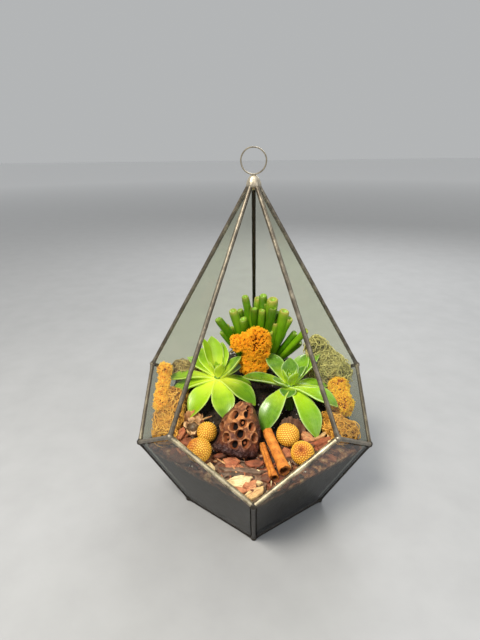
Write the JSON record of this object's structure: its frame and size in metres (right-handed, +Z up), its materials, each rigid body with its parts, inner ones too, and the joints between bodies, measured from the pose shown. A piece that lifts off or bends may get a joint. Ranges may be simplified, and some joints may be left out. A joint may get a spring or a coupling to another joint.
{
  "type": "glass plant terrarium",
  "caption": "Teardrop terrarium of flat glass panes in soldered bars with one open face and a hanging ring, planted with succulents, lichen, moss and dried bark over dark soil.",
  "frame": {"origin": "centre of the five-sided base, on the surface the terrarium stands on", "axes": "+Z up towards the hanging ring, -Y out of the open face, +X to the right seen from the front"},
  "size_m": [0.1972, 0.206, 0.3038],
  "materials": {
    "frame_bars": "dark patina over solder",
    "glass": "clear float glass, faintly grey",
    "solder": "bare solder, satin",
    "ring": "dark patina, worn bright on the edges",
    "soil": "matte, moist and crumbly",
    "rosette_leaf": "satin waxy leaf",
    "finger_leaf": "satin waxy leaf",
    "orange_lichen": "matte, spongy",
    "golden_moss": "matte, fibrous",
    "olive_moss": "matte, fibrous",
    "umber_moss": "matte, fibrous",
    "pod": "matte, dry and wrinkled",
    "fruit_scale": "satin scales",
    "quill_bark": "matte bark",
    "husk": "matte, dry",
    "nut": "satin shell",
    "bark_chips": "matte bark"
  },
  "bodies": {
    "root": {"upper_bar_1": "frame_bars", "zigzag_bar_1_rise": "frame_bars", "zigzag_bar_1_fall": "frame_bars", "lower_bar_1": "frame_bars", "base_bar_1": "frame_bars", "upper_bar_2": "frame_bars", "zigzag_bar_2_rise": "frame_bars", "zigzag_bar_2_fall": "frame_bars", "lower_bar_2": "frame_bars", "base_bar_2": "frame_bars", "upper_bar_3": "frame_bars", "zigzag_bar_3_rise": "frame_bars", "zigzag_bar_3_fall": "frame_bars", "lower_bar_3": "frame_bars", "base_bar_3": "frame_bars", "upper_bar_4": "frame_bars", "zigzag_bar_4_rise": "frame_bars", "zigzag_bar_4_fall": "frame_bars", "lower_bar_4": "frame_bars", "base_bar_4": "frame_bars", "upper_bar_5": "frame_bars", "zigzag_bar_5_rise": "frame_bars", "zigzag_bar_5_fall": "frame_bars", "lower_bar_5": "frame_bars", "base_bar_5": "frame_bars", "upper_pane_1": "glass", "upper_pane_2": "glass", "upper_pane_3": "glass", "upper_pane_4": "glass", "lower_pane_1": "glass", "lower_pane_2": "glass", "lower_pane_3": "glass", "lower_pane_4": "glass", "lower_pane_5": "glass", "base_pane": "glass", "apex_solder": "solder", "hanging_ring": "ring", "soil": "soil", "rosette_left": "rosette_leaf", "rosette_right": "rosette_leaf", "finger_jade": "finger_leaf", "lichen_centre": "orange_lichen", "lichen_left": "orange_lichen", "lichen_right": "orange_lichen", "moss_left": "golden_moss", "moss_right": "golden_moss", "moss_back_right": "olive_moss", "moss_back_left": "umber_moss", "dried_pod": "pod", "scaly_fruit_1": "fruit_scale", "scaly_fruit_2": "fruit_scale", "scaly_fruit_3": "fruit_scale", "scaly_fruit_4": "fruit_scale", "bark_quill_thick": "quill_bark", "bark_quill_thin": "quill_bark", "nut_husk": "husk", "nut": "nut", "bark_litter_front": "bark_chips", "bark_litter_left": "bark_chips", "bark_litter_right": "bark_chips"}
  },
  "joints": []
}
